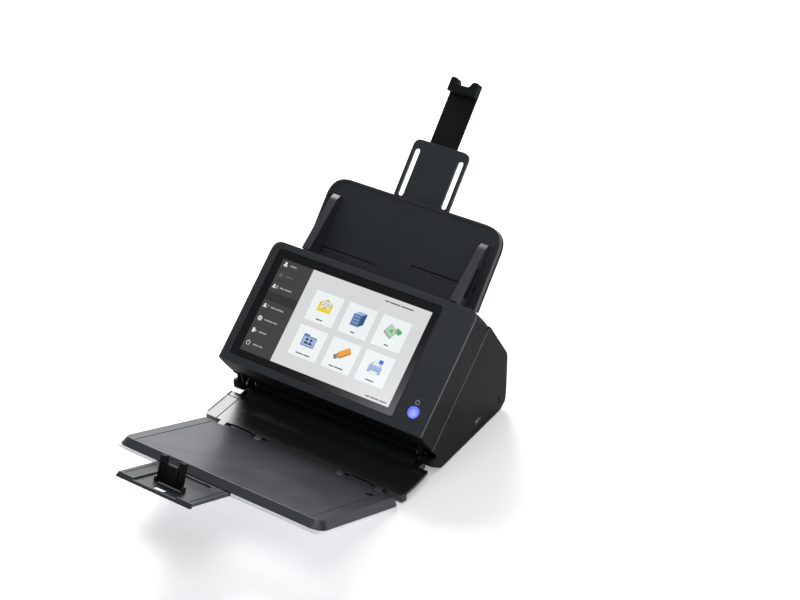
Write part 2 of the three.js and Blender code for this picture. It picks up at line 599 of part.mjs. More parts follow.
function ejectArm() {
  const halfPlan = [
    [ARM_HALF, ARM_PIVOT.y], [ARM_HALF, WING_REAR, 1], [149.4, WING_REAR, 2], [ARM_WING, -76, 20],
    [149.4, -97, 5], [147, ARM_FRONT, 1],
  ];
  const plan = [...halfPlan, ...halfPlan.map(([x, y, radius]) => [-x, y, radius]).reverse()].reverse();
  const plate = slab(plan, [1.8, ARM_TOP], 5);
  const knuckle = bar(5.4, [-ARM_HALF, ARM_HALF], ARM_PIVOT.y, ARM_PIVOT.z, 24);
  const ramp = prism([
    [-52, ARM_TOP - 1], [-52, ARM_TOP], [-38.5, 18.2, 4], [ARM_PIVOT.y, 18.8], [ARM_PIVOT.y, ARM_TOP - 1],
  ], [-126.5, 126.5]);
  const lugs = ARM_LUGS.x.map((x) => prism([
    [ARM_FRONT + 2, 2.6], [ARM_FRONT + 2, ARM_TOP], [TRAY_PIVOT.y + 1, ARM_TOP, 2],
    [TRAY_PIVOT.y - 4.4, TRAY_PIVOT.z + 4, 3], [TRAY_PIVOT.y - 4.4, 2.6, 3],
  ], [x - ARM_LUGS.half, x + ARM_LUGS.half]));
  const hollow = box([-128, 128], [-92, -56], [0, ARM_TOP - 3]);
  const wingRoom = [-1, 1].map((side) => box(mirrored([137, FAR], side), [-95, 0], [0, ARM_TOP - 4]));
  const pinHoles = [-1, 1].map((side) => (
    bar(ARM_PIVOT.pin + GAP, mirrored([ARM_PIVOT.reach[0] - 1, FAR], side), ARM_PIVOT.y, ARM_PIVOT.z)));
  const trayLugRoom = TRAY_LUGS.x.map((x) => box(
    [x - TRAY_LUGS.half - 1, x + TRAY_LUGS.half + 1], [-FAR, TRAY_PIVOT.y + LUG_ROOM], [0, FAR]));
  const rod = bar(TRAY_PIVOT.pin + GAP, [-FAR, FAR], TRAY_PIVOT.y, TRAY_PIVOT.z);
  const grooves = [-1, 1].flatMap((side) => wingGrooves(side));
  const body = cut(join(plate, knuckle, ramp, ...lugs), hollow, ...wingRoom);
  return cut(body, rod, ...trayLugRoom, ...pinHoles, ...grooves);
}

add(scanner, 'eject_arm', ejectArm(), colours.tray, 0.45);
for (const [name, side] of [['left', -1], ['right', 1]]) {
  const { y, z, pin, reach } = ARM_PIVOT;
  const foot = box(mirrored([111, 129], side), [-97.5, -94.6], [0, 1.5]);
  add(scanner, `arm_${name}_foot`, foot, colours.rubber, 0.9);
  add(scanner, `${name}_arm_pin`, bar(pin, mirrored(reach, side), y, z), colours.steel, 0.3, 1);
}

// ---------------------------------------------------------------- eject tray, slider and stopper
const tray = { front: -TRAY_LENGTH, skin: -2.6, shellTop: -TRAY_EDGE - GAP, shellLow: -15.6, floor: -14 };
const TRAY_REAR = 2;
const RECESS_FLOOR = -12;
const STOPPER_PIVOT = -8.4;
const CATCH = { x: 122, y: -24 };
const HINGE_ROD_HALF = 123.4;

/** The tray's plan, grown outwards by so much and square at the hinge side. */
function trayOutline(grow) {
  const half = TRAY_HALF + grow;
  return rectangle(-half, half, tray.front - grow, TRAY_REAR, 10, 6);
}

/** The tray's block: its edge slopes outwards from the top down to TRAY_EDGE. */
function flaredBlock() {
  const settings = {
    depth: 1, bevelEnabled: true, bevelThickness: TRAY_EDGE, bevelSize: TRAY_FLARE, bevelSegments: 1,
    curveSegments: 6,
  };
  const both = new THREE.ExtrudeGeometry(outline(trayOutline(0)), settings).translate(0, 0, -1 - TRAY_EDGE);
  const lowHalf = box([-FAR, FAR], [-FAR, FAR], [-FAR, -TRAY_EDGE]);
  const behindHinge = box([-FAR, FAR], [TRAY_REAR, FAR], [-FAR, FAR]);
  return cut(both, lowHalf, behindHinge);
}

/** Room in the tray's rear edge: for the arm's lugs, and a wider gap outside them. */
const hingeRoom = () => [
  ...ARM_LUGS.x.map((x) => box([x - ARM_LUGS.half - 0.8, x + ARM_LUGS.half + 0.8], [-4.2, FAR], [-20, 1])),
  ...[-1, 1].map((side) => box(mirrored([118, FAR], side), [-1, FAR], [-20, 1])),
];

function trayPlate() {
  const hollow = box([4 - TRAY_HALF, TRAY_HALF - 4], [4 - TRAY_LENGTH, -9], [-20, tray.skin]);
  const catchSeat = peg(5, CATCH.x, CATCH.y, [-2, 1], 20);
  const sideLines = [-1, 1].map((side) => box(
    mirrored([127.6, 128.6], side), [3 - TRAY_LENGTH, -7], [-0.6, 1]));
  const { y, z, pin } = TRAY_PIVOT;
  const lugs = TRAY_LUGS.x.map((x) => prism(
    [[y - 9, z - 4, 0], [y + 4.6, z - 4.6, 4], [y + 4.6, z + 4, 4], [y - 1, z + 4, 1], [y - 6, z + 6, 0]],
    [x - TRAY_LUGS.half, x + TRAY_LUGS.half]));
  const rod = bar(pin + GAP, [-FAR, FAR], y, z);
  const toTray = (geometry) => fromWorldTo(ejectFrame, geometry);
  const body = cut(flaredBlock(), hollow, catchSeat, ...sideLines, ...hingeRoom());
  return cut(join(body, ...lugs.map(toTray)), toTray(rod));
}

function trayShell() {
  const rim = slab(trayOutline(TRAY_FLARE + 0.6), [-12.8, tray.shellTop], 5);
  const pan = slab(trayOutline(2.5), [tray.shellLow, -12], 5);
  const hollow = slab(trayOutline(-0.5), [tray.floor, 0], 5);
  const doorHalf = SLIDER.half + 0.6;
  const sliderDoor = box([SLIDER.x - doorHalf, SLIDER.x + doorHalf], [-FAR, -100], [tray.floor, 0]);
  const hingeSide = box([-FAR, FAR], [-4, FAR], [-20, 0]);
  const table = fromWorldTo(ejectFrame, box([-FAR, FAR], [-FAR, FAR], [-50, 2]));
  return cut(join(rim, pan), hollow, sliderDoor, hingeSide, table);
}

add(ejectFrame, 'eject_tray', trayPlate(), colours.tray, 0.4);
add(ejectFrame, 'eject_tray_shell', trayShell(), colours.light, 0.4);
add(ejectFrame, 'tray_catch', cut(
  peg(4.5, CATCH.x, CATCH.y, [-1.7, -0.2], 20),
  peg(2.6, CATCH.x, CATCH.y, [-1, 1], 20),
), colours.steel, 0.3, 1);
const hingeRod = bar(TRAY_PIVOT.pin, [-HINGE_ROD_HALF, HINGE_ROD_HALF], TRAY_PIVOT.y, TRAY_PIVOT.z);
add(scanner, 'tray_hinge_rod', hingeRod, colours.steel, 0.3, 1);

function ejectSlider() {
  const { x, half, front, back, top, low } = SLIDER;
  const span = [x - half, x + half];
  const plate = prism([
    [-back, top], [-front, top], [-front - 5, low - 1.6, 1], [-front, low - 2, 0], [-front, low],
    [-back, low],
  ], span);
  const recess = box([x - 31, x + 31], [-FAR, -165], [RECESS_FLOOR, 0]);
  const fingerPlan = rectangle(STOPPER.x - 8, STOPPER.x + 8, -front + 1, -front + 9, 3.5);
  const fingerHole = slab(fingerPlan, [-20, 0], 4);
  const sideLines = [-1, 1].map((side) => {
    const across = mirrored([half - 7, half - 6], side).map((offset) => x + offset);
    return box(across, [3 - front, -back - 3], [top - 0.6, 1]);
  });
  const bosses = [-1, 1].map((side) => {
    const inner = STOPPER.half + GAP;
    const width = mirrored([inner, inner + 2.6], side).map((offset) => STOPPER.x + offset);
    return prism([
      [STOPPER.y + 3.4, RECESS_FLOOR - 0.5], [STOPPER.y + 3, STOPPER_PIVOT + 2.8, 2],
      [STOPPER.y - 3, STOPPER_PIVOT + 2.8, 2], [STOPPER.y - 3.4, RECESS_FLOOR - 0.5],
    ], width);
  });
  const pinHole = bar(1.2 + 0.3, [STOPPER.x - 22, STOPPER.x + 22], STOPPER.y, STOPPER_PIVOT, 16);
  return cut(join(cut(plate, recess, fingerHole, ...sideLines), ...bosses), pinHole);
}

function stopper() {
  const { x, half, y, top, thick } = STOPPER;
  const shape = outline([
    [x - half, STOPPER_PIVOT - 2.2, 1], [x + half, STOPPER_PIVOT - 2.2, 1], [x + half, top, 1.5],
    [x + half - 8, top, 1.5], [x + half - 9.5, top - 8, 2], [x - half + 9.5, top - 8, 2],
    [x - half + 8, top, 1.5], [x - half, top, 1.5],
  ]);
  const settings = { depth: thick, bevelEnabled: false, curveSegments: 4 };
  const wall = new THREE.ExtrudeGeometry(shape, settings).rotateX(Math.PI / 2).translate(0, y + thick / 2, 0);
  const ribs = [-15.5, -10, 10, 15.5].map((offset) => (
    box([x + offset - 0.9, x + offset + 0.9], [y - thick / 2 - 1.6, y - thick / 2 + 1], [-6, top - 9])));
  const pin = bar(1.2, [x - half - 2.6, x + half + 2.6], y, STOPPER_PIVOT, 16);
  return join(wall, ...ribs, pin);
}

add(ejectFrame, 'eject_extension', ejectSlider(), colours.tray, 0.45);
add(ejectFrame, 'eject_stopper', stopper(), colours.dark, 0.45);

export default scanner;
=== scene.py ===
"""Looks of the sheet fed document scanner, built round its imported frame."""
import json
import math

import bmesh
import bpy
from mathutils import Matrix, Vector


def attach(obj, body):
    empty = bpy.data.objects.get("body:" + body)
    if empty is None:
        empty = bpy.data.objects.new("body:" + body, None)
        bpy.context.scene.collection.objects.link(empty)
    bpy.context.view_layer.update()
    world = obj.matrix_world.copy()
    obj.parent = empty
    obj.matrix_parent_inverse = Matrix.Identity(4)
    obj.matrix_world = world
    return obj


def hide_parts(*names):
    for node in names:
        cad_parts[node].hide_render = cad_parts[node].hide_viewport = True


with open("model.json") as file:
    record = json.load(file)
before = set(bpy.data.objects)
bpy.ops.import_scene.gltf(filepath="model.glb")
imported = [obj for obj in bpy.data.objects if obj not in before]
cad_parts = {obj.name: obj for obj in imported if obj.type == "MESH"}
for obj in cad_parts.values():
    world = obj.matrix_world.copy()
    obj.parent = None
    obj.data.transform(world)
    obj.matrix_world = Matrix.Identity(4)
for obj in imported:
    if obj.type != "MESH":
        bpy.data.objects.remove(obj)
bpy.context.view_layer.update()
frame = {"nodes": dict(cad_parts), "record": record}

MM = 0.001

# ---------------------------------------------------------------- camera
CAMERA_PLACE = (1.1461, -1.4531, 1.4617)
CAMERA_TURN = (55.381, 1.941, 34.423)      # degrees
LENS = 85.55

camera_data = bpy.data.cameras.new("camera")
camera_data.lens = LENS
camera_data.clip_start = 0.05
camera_data.clip_end = 30.0
camera = bpy.data.objects.new("camera", camera_data)
camera.location = CAMERA_PLACE
camera.rotation_euler = [math.radians(a) for a in CAMERA_TURN]
bpy.context.scene.collection.objects.link(camera)
bpy.context.scene.camera = camera
bpy.context.scene.view_settings.view_transform = "Standard"

# ---------------------------------------------------------------- frames of the housing and the panel
ORIGIN_BACK = 22.4                         # mm from the frame's origin back to the panel's centre
PANEL_TILT = 38.4                          # degrees
PANEL_HEIGHT = 125.8                       # mm, the height of the panel's centre


def tilted(y, z, degrees):
    """The frame of a tilted part, as a matrix from millimetres in that part to metres in the row frame."""
    place = Matrix.Translation((0, (y + ORIGIN_BACK) * MM, z * MM))
    return place @ Matrix.Rotation(math.radians(degrees), 4, "X") @ Matrix.Scale(MM, 4)


FLAT = tilted(0, 0, 0)
PANEL = tilted(0, PANEL_HEIGHT, PANEL_TILT)


# ---------------------------------------------------------------- shader helpers
def linear(r, g, b):
    """Linear colour from 0-255 screen values."""
    def one(c):
        c /= 255
        return c / 12.92 if c <= 0.04045 else ((c + 0.055) / 1.055) ** 2.4
    return (one(r), one(g), one(b), 1.0)


def shaded(colour, factor):
    return tuple(min(1.0, c * factor) for c in colour[:3]) + (1.0,)


class Surface:
    """A node material round one Principled BSDF, with short ways to add textures."""

    def __init__(self, name, **settings):
        self.material = bpy.data.materials.new(name)
        self.material.use_nodes = True
        self.nodes = self.material.node_tree.nodes
        self.links = self.material.node_tree.links
        self.shader = self.nodes["Principled BSDF"]
        self.coordinates = self.nodes.new("ShaderNodeTexCoord").outputs["Object"]
        self.set(**settings)

    def set(self, **settings):
        for key, value in settings.items():
            self.shader.inputs[key.replace("_", " ")].default_value = value

    def stretched(self, scale):
        mapping = self.nodes.new("ShaderNodeMapping")
        mapping.inputs["Scale"].default_value = scale
        self.links.new(self.coordinates, mapping.inputs["Vector"])
        return mapping.outputs["Vector"]

    def noise(self, scale, detail=2.0, stretch=None):
        node = self.nodes.new("ShaderNodeTexNoise")
        node.inputs["Scale"].default_value = scale
        node.inputs["Detail"].default_value = detail
        source = self.stretched(stretch) if stretch else self.coordinates
        self.links.new(source, node.inputs["Vector"])
        return node.outputs["Fac"]

    def cells(self, scale):
        node = self.nodes.new("ShaderNodeTexVoronoi")
        node.inputs["Scale"].default_value = scale
        self.links.new(self.coordinates, node.inputs["Vector"])
        return node.outputs["Distance"]

    def ramp(self, value, low, high, start=0.3, end=0.7):
        node = self.nodes.new("ShaderNodeValToRGB")
        node.color_ramp.elements[0].position = start
        node.color_ramp.elements[1].position = end
        node.color_ramp.elements[0].color = low
        node.color_ramp.elements[1].color = high
        self.links.new(value, node.inputs["Fac"])
        return node.outputs["Color"]

    def range(self, value, low, high):
        node = self.nodes.new("ShaderNodeMapRange")
        node.inputs["From Min"].default_value = 0.3
        node.inputs["From Max"].default_value = 0.7
        node.inputs["To Min"].default_value = low
        node.inputs["To Max"].default_value = high
        self.links.new(value, node.inputs["Value"])
        return node.outputs["Result"]

    def blend(self, a, b, share=0.5, mode="MIX"):
        node = self.nodes.new("ShaderNodeMix")
        node.data_type = "RGBA"
        node.blend_type = mode
        node.inputs["Factor"].default_value = share
        self.links.new(a, node.inputs["A"])
        self.links.new(b, node.inputs["B"])
        return node.outputs["Result"]

    def use(self, output, socket):
        self.links.new(output, self.shader.inputs[socket])

    def distance(self, centre):
        node = self.nodes.new("ShaderNodeVectorMath")
        node.operation = "DISTANCE"
        node.inputs[1].default_value = centre
        self.links.new(self.coordinates, node.inputs[0])
        return node.outputs["Value"]

    def fall(self, value, near, far, first, last):
        """Colour that goes smoothly from first at the near value to last at the far value."""
        share = self.nodes.new("ShaderNodeMapRange")
        share.interpolation_type = "SMOOTHSTEP"
        share.inputs["From Min"].default_value = near
        share.inputs["From Max"].default_value = far
        self.links.new(value, share.inputs["Value"])
        return self.ramp(share.outputs["Result"], first, last, 0.0, 1.0)

    def bump(self, height, strength, depth_mm):
        node = self.nodes.new("ShaderNodeBump")
        node.inputs["Strength"].default_value = strength
        node.inputs["Distance"].default_value = depth_mm * MM
        self.links.new(height, node.inputs["Height"])
        previous = self.shader.inputs["Normal"]
        if previous.is_linked:
            self.links.new(previous.links[0].from_socket, node.inputs["Normal"])
        self.links.new(node.outputs["Normal"], previous)


def plastic(name, colour, roughness, grain_mm=0.5, grain_depth=0.05, speckle=0.16, specular=0.5):
    """Moulded plastic: fine spark-eroded grain, faint speckle, and slow changes of tone and gloss."""
    surface = Surface(name, Specular_IOR_Level=specular)
    grain = surface.noise(1 / (grain_mm * MM), 3.0)
    drift = surface.noise(22.0, 2.0)
    speckled = surface.ramp(grain, shaded(colour, 1 - speckle), shaded(colour, 1 + speckle))
    toned = surface.ramp(drift, shaded(colour, 0.94), shaded(colour, 1.06))
    surface.use(surface.blend(speckled, toned, 0.45), "Base Color")
    surface.use(surface.range(drift, roughness - 0.03, roughness + 0.03), "Roughness")
    surface.bump(grain, 0.5, grain_depth)
    surface.bump(surface.cells(0.7 / (grain_mm * MM)), 0.2, grain_depth)
    return surface.material


def rubber(name, colour):
    surface = Surface(name, Specular_IOR_Level=0.3)
    grain = surface.noise(1500.0, 4.0)
    surface.use(surface.ramp(grain, shaded(colour, 0.7), shaded(colour, 1.4)), "Base Color")
    surface.use(surface.range(grain, 0.72, 0.92), "Roughness")
    surface.bump(grain, 0.6, 0.08)
    return surface.material


def metal(name, colour, roughness, stretch=(30.0, 900.0, 900.0)):
    """Rolled or turned steel, with its fine lines across Y and Z."""
    surface = Surface(name, Metallic=1.0)
    lines = surface.noise(1.0, 3.0, stretch)
    cloud = surface.noise(60.0, 3.0)
    surface.use(surface.ramp(lines, shaded(colour, 0.8), shaded(colour, 1.1)), "Base Color")
    surface.use(surface.range(cloud, roughness - 0.06, roughness + 0.08), "Roughness")
    surface.bump(lines, 0.25, 0.02)
    return surface.material


def board_paint(name):
    """Green solder mask over a faint pattern of copper tracks."""
    surface = Surface(name, Roughness=0.35, Coat_Weight=0.3)
    tracks = surface.noise(90.0, 0.0, (6.0, 1.0, 1.0))
    surface.use(surface.ramp(tracks, linear(16, 74, 40), linear(30, 104, 58), 0.46, 0.54), "Base Color")
    surface.bump(tracks, 0.2, 0.05)
    return surface.material


def panel_glass(name):
    """Black bordered touch glass: glossy, with faint smears that change its gloss."""
    surface = Surface(name, Specular_IOR_Level=0.5)
    smears = surface.noise(14.0, 4.0, (1.0, 2.2, 1.0))
    surface.use(surface.ramp(smears, linear(7, 9, 9), linear(10, 12, 13)), "Base Color")
    surface.use(surface.range(smears, 0.05, 0.09), "Roughness")
    return surface.material


def sensor_glass(name):
    surface = Surface(name, Specular_IOR_Level=0.6)
    smears = surface.noise(40.0, 3.0, (1.0, 6.0, 6.0))
    surface.use(surface.ramp(smears, linear(30, 36, 34), linear(52, 60, 58)), "Base Color")
    surface.use(surface.range(smears, 0.04, 0.12), "Roughness")
    return surface.material


def lit_screen(name, colour):
    """One lit colour of the display, with a faint unevenness of the backlight and the glass's gloss."""
    surface = Surface(name, Roughness=0.07, Emission_Strength=0.92)
    backlight = surface.noise(9.0, 1.0)
    surface.use(surface.ramp(backlight, shaded(colour, 0.97), shaded(colour, 1.02)), "Emission Color")
    surface.use(surface.ramp(backlight, shaded(colour, 0.03), shaded(colour, 0.04)), "Base Color")
    return surface.material


def lit_button(name, centre, radius):
    """Blue lit translucent plastic, which falls off from its bright middle to its rim."""
    surface = Surface(name, Roughness=0.25, Emission_Strength=0.85, Coat_Weight=0.3)
    away = surface.distance(centre)
    glow = surface.fall(away, 0.1 * radius, 1.1 * radius, linear(150, 166, 252), linear(84, 96, 232))
    surface.use(glow, "Emission Color")
    surface.use(surface.fall(away, 0.0, radius, linear(90, 104, 220), linear(60, 70, 200)), "Base Color")
    return surface.material


BUTTON_GLOW = PANEL @ Vector((129.2, -58.4, 0.8))
BUTTON_RADIUS = 7.6 * MM
MATERIALS = {
    "bezel_plastic": plastic("bezel_plastic", linear(38, 43, 46), 0.46, specular=0.35),
    "side_plastic": plastic("side_plastic", linear(14, 17, 18), 0.6, specular=0.12),
    "dark_plastic": plastic("dark_plastic", linear(11, 12, 12), 0.5, specular=0.15),
    "guide_plastic": plastic("guide_plastic", linear(50, 53, 58), 0.36, 0.3, 0.02, specular=0.35),
    "tray_plastic": plastic("tray_plastic", linear(52, 55, 59), 0.34, 0.4, 0.006, specular=0.5),
    "arm_plastic": plastic("arm_plastic", linear(26, 28, 28), 0.3, 0.4, 0.006),
    "slider_plastic": plastic("slider_plastic", linear(34, 37, 40), 0.32, 0.4, 0.006, specular=0.45),
    # painted highlight: light grey glossy plastic that stands for the highlight lines along the panel's
    # right edge and the seam
    "painted_highlight_plastic": plastic("painted_highlight_plastic", linear(104, 108, 112), 0.25, 0.4, 0.01),
    # painted shade: dark steel colour that stands for the shade round the cover, arm and tray hinges
    "shade_darkened_pin_metal": metal("shade_darkened_pin_metal", linear(44, 45, 47), 0.4),
    "catch_metal": metal("catch_metal", linear(70, 72, 76), 0.3),
    "shell_plastic": plastic("shell_plastic", linear(238, 237, 242), 0.35, 0.4, 0.02, 0.03),
    "idler_plastic": plastic("idler_plastic", linear(196, 196, 192), 0.4, 0.4, 0.02, 0.04),
    "panel_glass": panel_glass("panel_glass"),
    "sensor_glass": sensor_glass("sensor_glass"),
    "lit_button": lit_button("lit_button", BUTTON_GLOW, BUTTON_RADIUS),
    "steel": metal("steel", linear(190, 192, 196), 0.3),
    "port_metal": metal("port_metal", linear(176, 178, 182), 0.34),
    "rubber": rubber("rubber", linear(24, 24, 24)),
    "circuit_board": board_paint("circuit_board"),
}

# ---------------------------------------------------------------- mesh helpers
SEAM_HEIGHT = -43.2                        # mm, the top of the side covers below the panel's face
RIGHT_FACE = 149.5                         # mm, anything further out lies on the right face
LINE_REACH = 0.3                           # mm, how near a point has to be to one of the two lines
# pieces whose bevels along the panel's right edge and the seam get a painted highlight line
PAINTED_HIGHLIGHT_NODES = ("front_bezel", "right_side_cover")
PAINTED_HIGHLIGHT_WIDTH = 0.5                       # mm
PLAIN_WIDTH = 0.4                          # mm, the edge radius of most pieces
SHARP_ANGLE = 30                           # degrees between two faces that make an edge to round
SMOOTH_ANGLE = 32
FLAT_ANGLE = 0.6                           # degrees between two faces that count as one flat face
BODY_OF = {node: body for body, nodes in frame["record"]["behaviour"]["bodies"].items() for node in nodes}
SLOT_OF = {part["node"]: part["material_slot"] for part in frame["record"]["subparts"]}


def place(name, mesh, body, slot, material=None):
    """A new piece from a finished mesh in the row frame."""
    piece = bpy.data.objects.new(name, mesh)
    bpy.context.scene.collection.objects.link(piece)
    mesh.materials.append(material or MATERIALS[slot])
    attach(piece, body)
    return piece


def smooth(mesh):
    mesh.shade_smooth()
    mesh.set_sharp_from_angle(angle=math.radians(SMOOTH_ANGLE))


def sharp_edges(bm):
    limit = math.radians(SHARP_ANGLE)
    return [e for e in bm.edges if e.is_manifold and e.calc_face_angle(0.0) > limit]


def bevel(bm, edges, width_mm, segments, material=-1):
    bmesh.ops.bevel(bm, geom=edges, offset=width_mm * MM, segments=segments, profile=0.5, affect="EDGES",
                    clamp_overlap=False, material=material)


def on_right_line(point):
    """Whether a point lies on the panel's right edge or on the seam line under the cover's right side."""
    height = (PANEL.inverted() @ point).z
    return point.x > RIGHT_FACE * MM and min(abs(height), abs(height - SEAM_HEIGHT)) < LINE_REACH


def rounded(node, width_mm, material):
    """A copy of a CAD node, with flat faces made whole and edges rounded, which stands for the node.
    The panel's right edge and the seam line also get a light grey material on their bevels: a painted
    highlight line."""
    bm = bmesh.new()
    bm.from_mesh(frame["nodes"][node].data)
    bmesh.ops.remove_doubles(bm, verts=bm.verts, dist=1e-6)
    bmesh.ops.dissolve_limit(bm, angle_limit=math.radians(FLAT_ANGLE), verts=bm.verts, edges=bm.edges)
    # painted highlight: these edges get the light grey second material
    if node in PAINTED_HIGHLIGHT_NODES:
        chosen = [e for e in sharp_edges(bm) if all(on_right_line(v.co) for v in e.verts)]
        bevel(bm, chosen, PAINTED_HIGHLIGHT_WIDTH, 4, material=1)
    bevel(bm, sharp_edges(bm), width_mm, 2)
    mesh = bpy.data.meshes.new(node + "_finished")
    bm.to_mesh(mesh)
    bm.free()
    smooth(mesh)
    piece = place(node + "_finished", mesh, BODY_OF[node], SLOT_OF[node], material)
    if node in PAINTED_HIGHLIGHT_NODES:
        mesh.materials.append(MATERIALS["painted_highlight_plastic"])
    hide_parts(node)
    weighted = piece.modifiers.new("weighted", "WEIGHTED_NORMAL")
    weighted.keep_sharp = True


# ---------------------------------------------------------------- finished copies of the CAD nodes
SPECIAL_WIDTH = {                          # mm
    "touch_glass": 0.3, "power_button": 0.6, "eject_stopper": 0.3, "tray_catch": 0.2,
    "right_side_cover": 0.25, "left_side_cover": 0.5, "cover_shell": 0.5, "front_bezel": 0.5,
    "feed_tray": 0.25, "usb_side_port": 0.15, "network_port": 0.2, "power_inlet": 0.3,
}
OTHER_MATERIAL = {                         # where a piece looks unlike the rest of its slot
    "eject_arm": "arm_plastic", "tray_catch": "catch_metal", "eject_extension": "slider_plastic",
    # the pins and the hinge rod get dark metal as painted shade of their hinge zones
    "left_cover_pin": "shade_darkened_pin_metal", "right_cover_pin": "shade_darkened_pin_metal", "left_arm_pin": "shade_darkened_pin_metal",
    "right_arm_pin": "shade_darkened_pin_metal", "tray_hinge_rod": "shade_darkened_pin_metal",
}
for node, o in frame["nodes"].items():
    o.data.materials.clear()
    o.data.materials.append(MATERIALS[SLOT_OF[node]])
    rounded(node, SPECIAL_WIDTH.get(node, PLAIN_WIDTH), MATERIALS.get(OTHER_MATERIAL.get(node)))

# ---------------------------------------------------------------- flat shapes on the panel
GLASS_TOP = -0.1                           # mm below the bezel's face
LAYER = 0.05                               # mm, the step from one printed or lit layer to the next


def rectangle(u0, u1, v0, v1, radius=0.0):
    """Outline of a rectangle, with its corners rounded."""
    if not radius:
        return [(u0, v0), (u1, v0), (u1, v1), (u0, v1)]
    points = []
    for u, v, start in ((u1 - radius, v0 + radius, -90), (u1 - radius, v1 - radius, 0),
                        (u0 + radius, v1 - radius, 90), (u0 + radius, v0 + radius, 180)):
        points += arc(u, v, radius, start, start + 90, 5)
    return points


def arc(u, v, radius, start, end, steps):
    angles = [math.radians(start + (end - start) * i / steps) for i in range(steps + 1)]
    return [(u + radius * math.cos(a), v + radius * math.sin(a)) for a in angles]


def disc(u, v, radius):
    return arc(u, v, radius, 0, 345, 23)


def ribbon(points, width):
    """Outline of a band of even width along open points."""
    left, right = [], []
    for i, (u, v) in enumerate(points):
        before, after = points[max(i - 1, 0)], points[min(i + 1, len(points) - 1)]
        along = Vector((after[0] - before[0], after[1] - before[1])).normalized() * width / 2
        left.append((u - along.y, v + along.x))
        right.append((u + along.y, v - along.x))
    return right + left[::-1]


def moved(points, u, v, degrees=0.0, scale=1.0):
    cos, sin = math.cos(math.radians(degrees)) * scale, math.sin(math.radians(degrees)) * scale
    return [(u + a * cos - b * sin, v + a * sin + b * cos) for a, b in points]


class Inlay:
    """Thin flat shapes on a surface, gathered into one piece for each colour."""

    def __init__(self, frame_matrix, surface_height, shift=0.0):
        self.matrix = frame_matrix
        self.height = surface_height
        self.shift = shift
        self.enlarged = (0.0, 0.0, 1.0)
        self.meshes = {}

    def add(self, colour, points, layer):
        bm = self.meshes.setdefault(colour, bmesh.new())
        low, high = self.height - 0.02, self.height + LAYER * layer
        centre_u, centre_v, scale = self.enlarged
        points = [(centre_u + (u - centre_u) * scale, centre_v + (v - centre_v) * scale) for u, v in points]
        rings = [[bm.verts.new(self.matrix @ Vector((u + self.shift, v, w))) for u, v in points]
                 for w in (low, high)]
        bm.faces.new(rings[0][::-1])
        bm.faces.new(rings[1])
        for i in range(len(points)):
            j = (i + 1) % len(points)
            bm.faces.new((rings[0][i], rings[0][j], rings[1][j], rings[1][i]))

    def finish(self, prefix, body, slot, materials):
        for colour, bm in self.meshes.items():
            mesh = bpy.data.meshes.new(f"{prefix}_{colour}")
            bmesh.ops.recalc_face_normals(bm, faces=bm.faces)
            bm.to_mesh(mesh)
            bm.free()
            place(f"{prefix}_{colour}", mesh, body, slot, materials[colour])


# ---------------------------------------------------------------- the lit screen
LIT_COLOURS = {
    "page": (222, 223, 225), "tile": (244, 249, 250), "bar": (66, 66, 68), "bar_gap": (50, 50, 52),
    "white": (236, 238, 238), "grey": (150, 152, 154), "faint": (98, 98, 100), "ink": (58, 60, 64),
    "side_label": (166, 168, 170), "label": (96, 98, 102),
    "yellow": (238, 214, 62), "amber": (214, 176, 30), "blue": (92, 124, 172), "deep_blue": (54, 82, 130),
    "pale_blue": (160, 184, 224), "lilac": (196, 202, 236), "bright_blue": (64, 112, 236),
    "green": (84, 176, 96), "pale_green": (178, 214, 184), "orange": (242, 164, 60),
    "deep_orange": (214, 128, 32),
}
SCREEN = {"centre": -16.3, "half_width": 111.3, "half_height": 62.6, "page_left": -64.4}
ICON_SCALE = 1.15
ICON_HEIGHT = 22.3                         # mm, from the tile's lower edge to the middle of its picture
TILE = {"columns": (-47.1, 2.7, 52.2), "rows": (1.5, -45.4), "width": 41.3, "height": 39.3}


def words(picture, colour, u, v, height, lengths, layer, gap=1.0):
    """Plain dashes where a screen would show words."""
    for length in lengths:
        picture.add(colour, rectangle(u, u + length, v - height / 2, v + height / 2, height * 0.3), layer)
        u += length + gap


